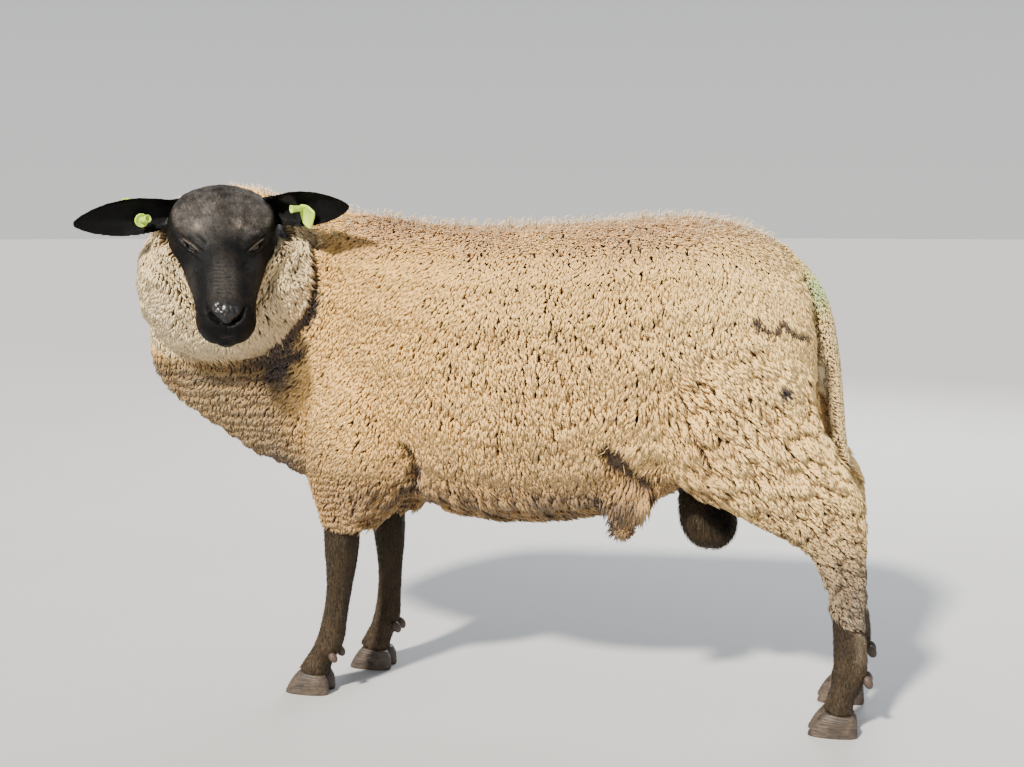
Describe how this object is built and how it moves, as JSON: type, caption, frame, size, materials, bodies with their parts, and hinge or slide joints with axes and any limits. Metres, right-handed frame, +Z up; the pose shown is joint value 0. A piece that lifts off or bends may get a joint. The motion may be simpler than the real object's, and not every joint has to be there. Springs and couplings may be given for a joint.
{
  "type": "black-faced ram in full fleece",
  "caption": "Standing black-faced, black-legged ram in full cream fleece with its head turned to its left and a tag in each ear.",
  "frame": {"origin": "on the floor, under the middle of the whole animal's box", "axes": "+Z up; the ram's body runs along X and heads towards -X; its left side faces -Y"},
  "size_m": [1.2346, 0.5414, 0.8544],
  "materials": {
    "wool": "matt curled fleece",
    "black_coat": "short dense hair",
    "horn": "worn hoof horn",
    "eye": "wet, dark",
    "tag": "satin moulded plastic"
  },
  "bodies": {
    "root": {"upper_hind_left": "wool", "lower_hind_left": "black_coat", "claw_hind_left_inner": "horn", "dewclaw_hind_left_inner": "horn", "claw_hind_left_outer": "horn", "dewclaw_hind_left_outer": "horn", "upper_hind_right": "wool", "lower_hind_right": "black_coat", "claw_hind_right_inner": "horn", "dewclaw_hind_right_inner": "horn", "claw_hind_right_outer": "horn", "dewclaw_hind_right_outer": "horn", "upper_front_left": "wool", "lower_front_left": "black_coat", "claw_front_left_inner": "horn", "dewclaw_front_left_inner": "horn", "claw_front_left_outer": "horn", "dewclaw_front_left_outer": "horn", "upper_front_right": "wool", "lower_front_right": "black_coat", "claw_front_right_inner": "horn", "dewclaw_front_right_inner": "horn", "claw_front_right_outer": "horn", "dewclaw_front_right_outer": "horn", "trunk": "wool", "neck": "wool", "tail": "wool", "scrotum": "black_coat", "head": "black_coat", "eye_left": "eye", "ear_left": "black_coat", "tag_front_left": "tag", "tag_back_left": "tag", "eye_right": "eye", "ear_right": "black_coat", "tag_front_right": "tag", "tag_back_right": "tag"}
  },
  "joints": []
}
